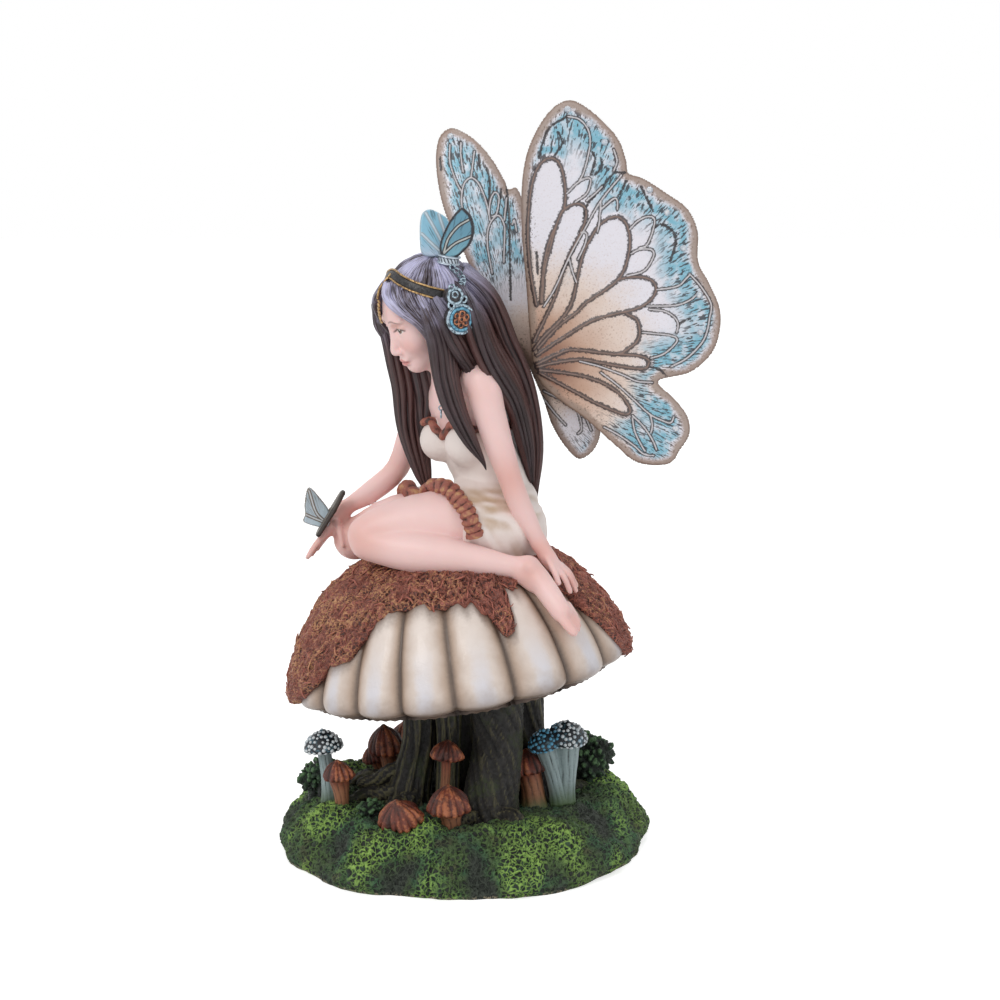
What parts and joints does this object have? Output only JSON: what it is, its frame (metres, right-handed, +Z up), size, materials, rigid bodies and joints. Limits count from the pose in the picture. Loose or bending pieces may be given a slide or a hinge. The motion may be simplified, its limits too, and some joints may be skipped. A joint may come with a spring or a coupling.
{
  "type": "fairy figurine",
  "caption": "Seated winged fairy in a short dress on a ribbed, bark-topped mushroom cap over a mossy round base with small mushrooms, with a butterfly on the hand and one in the hair.",
  "frame": {"origin": "middle of the flat underside of the mossy base, on the surface that it stands on", "axes": "+Z up; -Y is the side that shows the figure in profile, facing -X"},
  "size_m": [0.1218, 0.1031, 0.2049],
  "materials": {
    "moss": "matte painted resin, green dry-brushed over a dark wash",
    "bark": "matte painted resin, carved as twisted stalks with green moss in the grooves",
    "cap": "satin painted resin, pearl white ribs shaded tan at the grooves and the rim",
    "cover": "matte painted resin, shaggy chestnut scales with ochre edges",
    "skin": "matte painted resin",
    "hair": "satin painted resin, dark brown with lavender highlights",
    "dress": "matte painted resin, ivory with tan in the folds",
    "trim": "matte painted resin, chestnut frill with ochre edges",
    "band": "black paint with gold edges",
    "silver": "silver paint, blackened in the recesses",
    "wing": "painted resin: orange-brown roots, white cells, sky-blue and tan margins and dark vein lines",
    "butterfly": "painted resin, sky blue with dark edges",
    "crystal": "clear faceted flat-back stones"
  },
  "bodies": {
    "root": {"mossy_base": "moss", "mushroom_cap": "cap", "fairy_figure": "skin", "near_wing": "wing", "far_wing": "wing", "hair_butterfly": "butterfly", "hand_butterfly": "butterfly", "near_wing_crystal_01": "crystal", "near_wing_crystal_02": "crystal", "near_wing_crystal_03": "crystal", "near_wing_crystal_04": "crystal", "near_wing_crystal_05": "crystal", "near_wing_crystal_06": "crystal", "near_wing_crystal_07": "crystal", "near_wing_crystal_08": "crystal", "near_wing_crystal_09": "crystal", "near_wing_crystal_10": "crystal", "far_wing_crystal": "crystal"}
  },
  "joints": []
}
